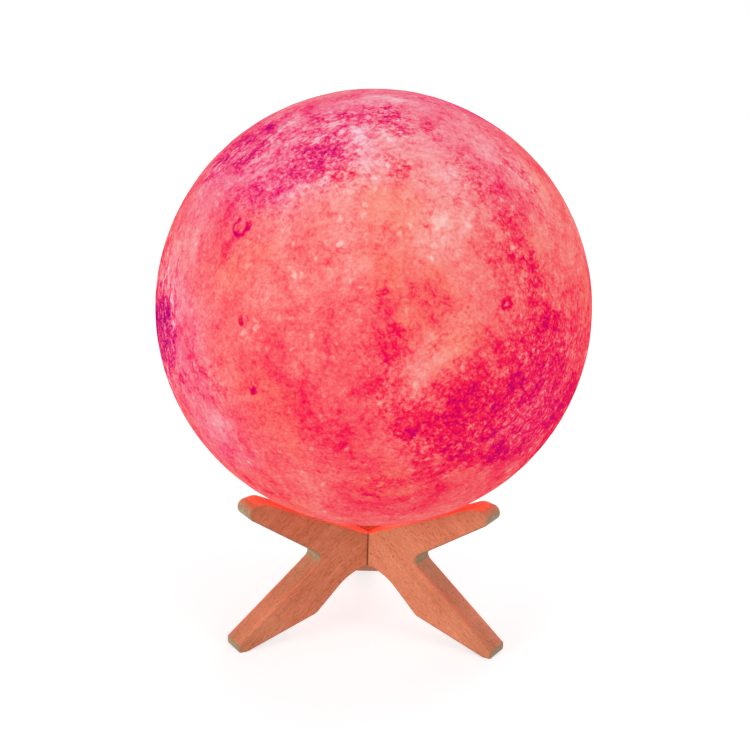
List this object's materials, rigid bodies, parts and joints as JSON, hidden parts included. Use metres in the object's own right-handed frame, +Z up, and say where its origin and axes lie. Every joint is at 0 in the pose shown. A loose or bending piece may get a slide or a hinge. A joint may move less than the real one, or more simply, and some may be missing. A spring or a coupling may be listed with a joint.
{
  "type": "moon lamp",
  "caption": "Round table lamp: a hollow cratered globe lit from inside lies loose in a cradle of glued wooden boards, with a push button and charging port underneath.",
  "frame": {"origin": "on the floor under the cradle's axis, which is also the globe's axis", "axes": "+Z up; +Y towards the rear board, so -Y is the front as in the picture; +X to the right"},
  "size_m": [0.15, 0.15, 0.1924],
  "materials": {
    "beech_wood": "satin",
    "moon_skin": "matte, fine relief, lit from inside",
    "white_plastic": "fine moulded grain",
    "milky_plastic": "satin, light-scattering",
    "grey_plastic": "satin",
    "plated_ring": "turned, satin plated",
    "black_plastic": "matte",
    "dark_window": "polished",
    "clear_plastic": "clear, polished",
    "contact_metal": "plated",
    "circuit_board": "solder mask over fibre glass",
    "white_circuit_board": "white solder mask",
    "light_chip": "silicone lens in a white frame",
    "battery_wrap": "shrink film",
    "foam": "open cell",
    "lead_insulation": "satin",
    "screw_steel": "zinc plated"
  },
  "bodies": {
    "stand": {"stand_board_rear": "beech_wood", "stand_board_left": "beech_wood", "stand_board_right": "beech_wood"},
    "lamp": {"moon_shell": "moon_skin", "shell_collar": "white_plastic", "base_cap": "white_plastic", "rim_ring": "plated_ring", "switch_body": "black_plastic", "charging_socket": "black_plastic", "socket_pin": "contact_metal", "indicator_light_pipe": "clear_plastic", "indicator_led": "light_chip", "receiver_window": "dark_window", "remote_receiver": "black_plastic", "main_board": "circuit_board", "controller_chip": "black_plastic", "board_parts": "black_plastic", "board_screws": "screw_steel", "cap_screws": "screw_steel", "core_housing": "white_plastic", "battery_holder": "white_plastic", "battery_cell": "battery_wrap", "battery_pad": "foam", "battery_leads": "lead_insulation", "led_leads": "lead_insulation", "led_board": "white_circuit_board", "led_chips": "light_chip", "led_board_screws": "screw_steel", "diffuser_dome": "milky_plastic"},
    "button": {"power_button": "grey_plastic", "switch_plunger": "black_plastic"}
  },
  "joints": [
    {"name": "lamp_lift", "type": "slide", "parent": "stand", "child": "lamp", "axis": [0, 0, 1], "range_m": [0, 0.12]},
    {"name": "button_press", "type": "slide", "parent": "lamp", "child": "button", "axis": [0, 0, 1], "range_m": [0, 0.0008], "stiffness_N_per_m": 1200, "springref_m": -0.0004}
  ]
}
